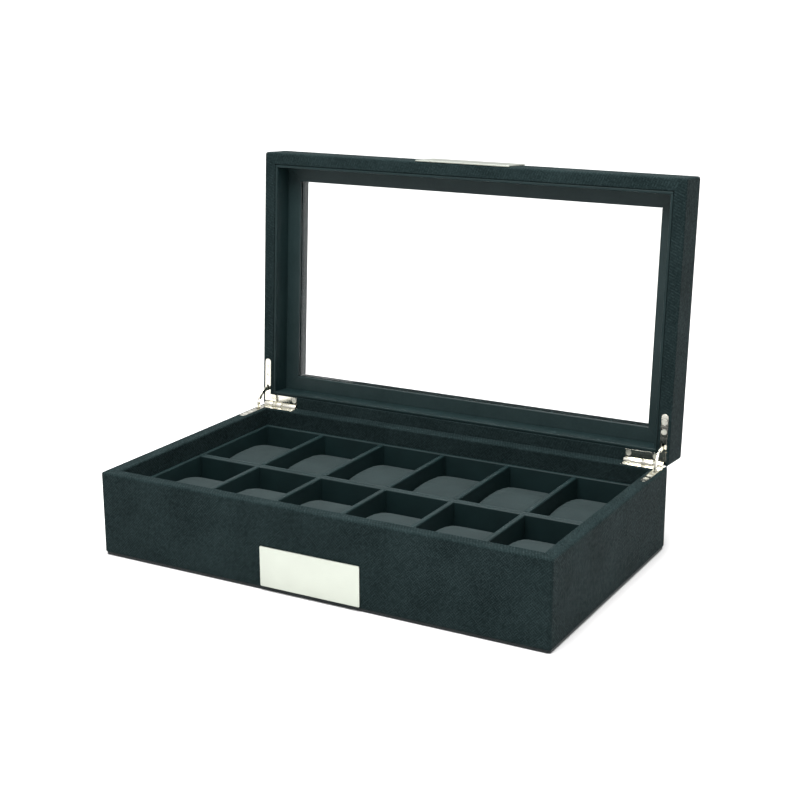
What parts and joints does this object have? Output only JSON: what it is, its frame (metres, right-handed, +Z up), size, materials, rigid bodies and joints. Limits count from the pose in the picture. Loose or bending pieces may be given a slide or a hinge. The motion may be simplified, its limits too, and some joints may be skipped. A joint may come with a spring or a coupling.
{
  "type": "watch box",
  "caption": "Rectangular watch box wrapped in dark cross-grained leatherette, with compartments holding lift-out cushions and a glazed lid on quadrant hinges with sliding stays.",
  "frame": {"origin": "centre of the base's underside, where the box stands", "axes": "+X to the right along the front, +Y from front to back, +Z up; drawn with the lid open"},
  "size_m": [0.34, 0.2423, 0.2609],
  "materials": {
    "wrap": "cross-grained leatherette over board, satin",
    "lining": "smooth matt leatherette lining",
    "cushion": "soft matt leatherette over foam",
    "felt": "felt",
    "panel": "fibreboard",
    "plate": "fine satin with polished bevels",
    "hinge_metal": "polished nickel",
    "screw_metal": "polished nickel",
    "glass": "clear float glass"
  },
  "bodies": {
    "box": {"base_front_wall": "wrap", "base_back_wall": "wrap", "base_left_wall": "wrap", "base_right_wall": "wrap", "bottom_panel": "panel", "base_pad": "felt", "floor_lining": "lining", "liner_front": "lining", "liner_back": "lining", "liner_left": "lining", "liner_right": "lining", "row_divider_front": "lining", "row_divider_back": "lining", "column_divider_1": "lining", "column_divider_2": "lining", "column_divider_3": "lining", "column_divider_4": "lining", "column_divider_5": "lining", "base_plate": "plate", "base_leaf_left": "hinge_metal", "base_leaf_right": "hinge_metal", "hinge_pin_left": "hinge_metal", "hinge_pin_right": "hinge_metal", "base_hinge_screws": "screw_metal"},
    "lid": {"lid_front_rail": "wrap", "lid_back_rail": "wrap", "lid_left_rail": "wrap", "lid_right_rail": "wrap", "glass_pane": "glass", "glass_retainer": "lining", "lid_liner_front": "lining", "lid_liner_back": "lining", "lid_liner_left": "lining", "lid_liner_right": "lining", "lid_plate": "plate", "lid_leaf_left": "hinge_metal", "lid_leaf_right": "hinge_metal", "lid_hinge_screws": "screw_metal"},
    "stay_left": {"stay_left": "hinge_metal"},
    "stay_right": {"stay_right": "hinge_metal"},
    "cushion_1": {"cushion_1": "cushion"},
    "cushion_2": {"cushion_2": "cushion"},
    "cushion_3": {"cushion_3": "cushion"},
    "cushion_4": {"cushion_4": "cushion"},
    "cushion_5": {"cushion_5": "cushion"},
    "cushion_6": {"cushion_6": "cushion"},
    "cushion_7": {"cushion_7": "cushion"},
    "cushion_8": {"cushion_8": "cushion"},
    "cushion_9": {"cushion_9": "cushion"},
    "cushion_10": {"cushion_10": "cushion"},
    "cushion_11": {"cushion_11": "cushion"},
    "cushion_12": {"cushion_12": "cushion"}
  },
  "joints": [
    {"name": "lid_hinge", "type": "hinge", "parent": "box", "child": "lid", "pos_m": [0, 0.09958, 0.06075], "axis": [-1, 0, 0], "range_deg": [-93.5, 0]},
    {"name": "stay_left_slide", "type": "hinge", "parent": "box", "child": "stay_left", "pos_m": [-0.1654, 0.09958, 0.06075], "axis": [-1, 0, 0], "range_deg": [-46.75, 0]},
    {"name": "stay_right_slide", "type": "hinge", "parent": "box", "child": "stay_right", "pos_m": [0.1654, 0.09958, 0.06075], "axis": [-1, 0, 0], "range_deg": [-46.75, 0]},
    {"name": "cushion_1_lift", "type": "slide", "parent": "box", "child": "cushion_1", "axis": [0, 0, 1], "range_m": [0, 0.07]},
    {"name": "cushion_2_lift", "type": "slide", "parent": "box", "child": "cushion_2", "axis": [0, 0, 1], "range_m": [0, 0.07]},
    {"name": "cushion_3_lift", "type": "slide", "parent": "box", "child": "cushion_3", "axis": [0, 0, 1], "range_m": [0, 0.07]},
    {"name": "cushion_4_lift", "type": "slide", "parent": "box", "child": "cushion_4", "axis": [0, 0, 1], "range_m": [0, 0.07]},
    {"name": "cushion_5_lift", "type": "slide", "parent": "box", "child": "cushion_5", "axis": [0, 0, 1], "range_m": [0, 0.07]},
    {"name": "cushion_6_lift", "type": "slide", "parent": "box", "child": "cushion_6", "axis": [0, 0, 1], "range_m": [0, 0.07]},
    {"name": "cushion_7_lift", "type": "slide", "parent": "box", "child": "cushion_7", "axis": [0, 0, 1], "range_m": [0, 0.07]},
    {"name": "cushion_8_lift", "type": "slide", "parent": "box", "child": "cushion_8", "axis": [0, 0, 1], "range_m": [0, 0.07]},
    {"name": "cushion_9_lift", "type": "slide", "parent": "box", "child": "cushion_9", "axis": [0, 0, 1], "range_m": [0, 0.07]},
    {"name": "cushion_10_lift", "type": "slide", "parent": "box", "child": "cushion_10", "axis": [0, 0, 1], "range_m": [0, 0.07]},
    {"name": "cushion_11_lift", "type": "slide", "parent": "box", "child": "cushion_11", "axis": [0, 0, 1], "range_m": [0, 0.07]},
    {"name": "cushion_12_lift", "type": "slide", "parent": "box", "child": "cushion_12", "axis": [0, 0, 1], "range_m": [0, 0.07]}
  ],
  "couplings": [
    {"joint": "stay_left_slide", "follows": "lid_hinge", "ratio": 0.5},
    {"joint": "stay_right_slide", "follows": "lid_hinge", "ratio": 0.5}
  ]
}
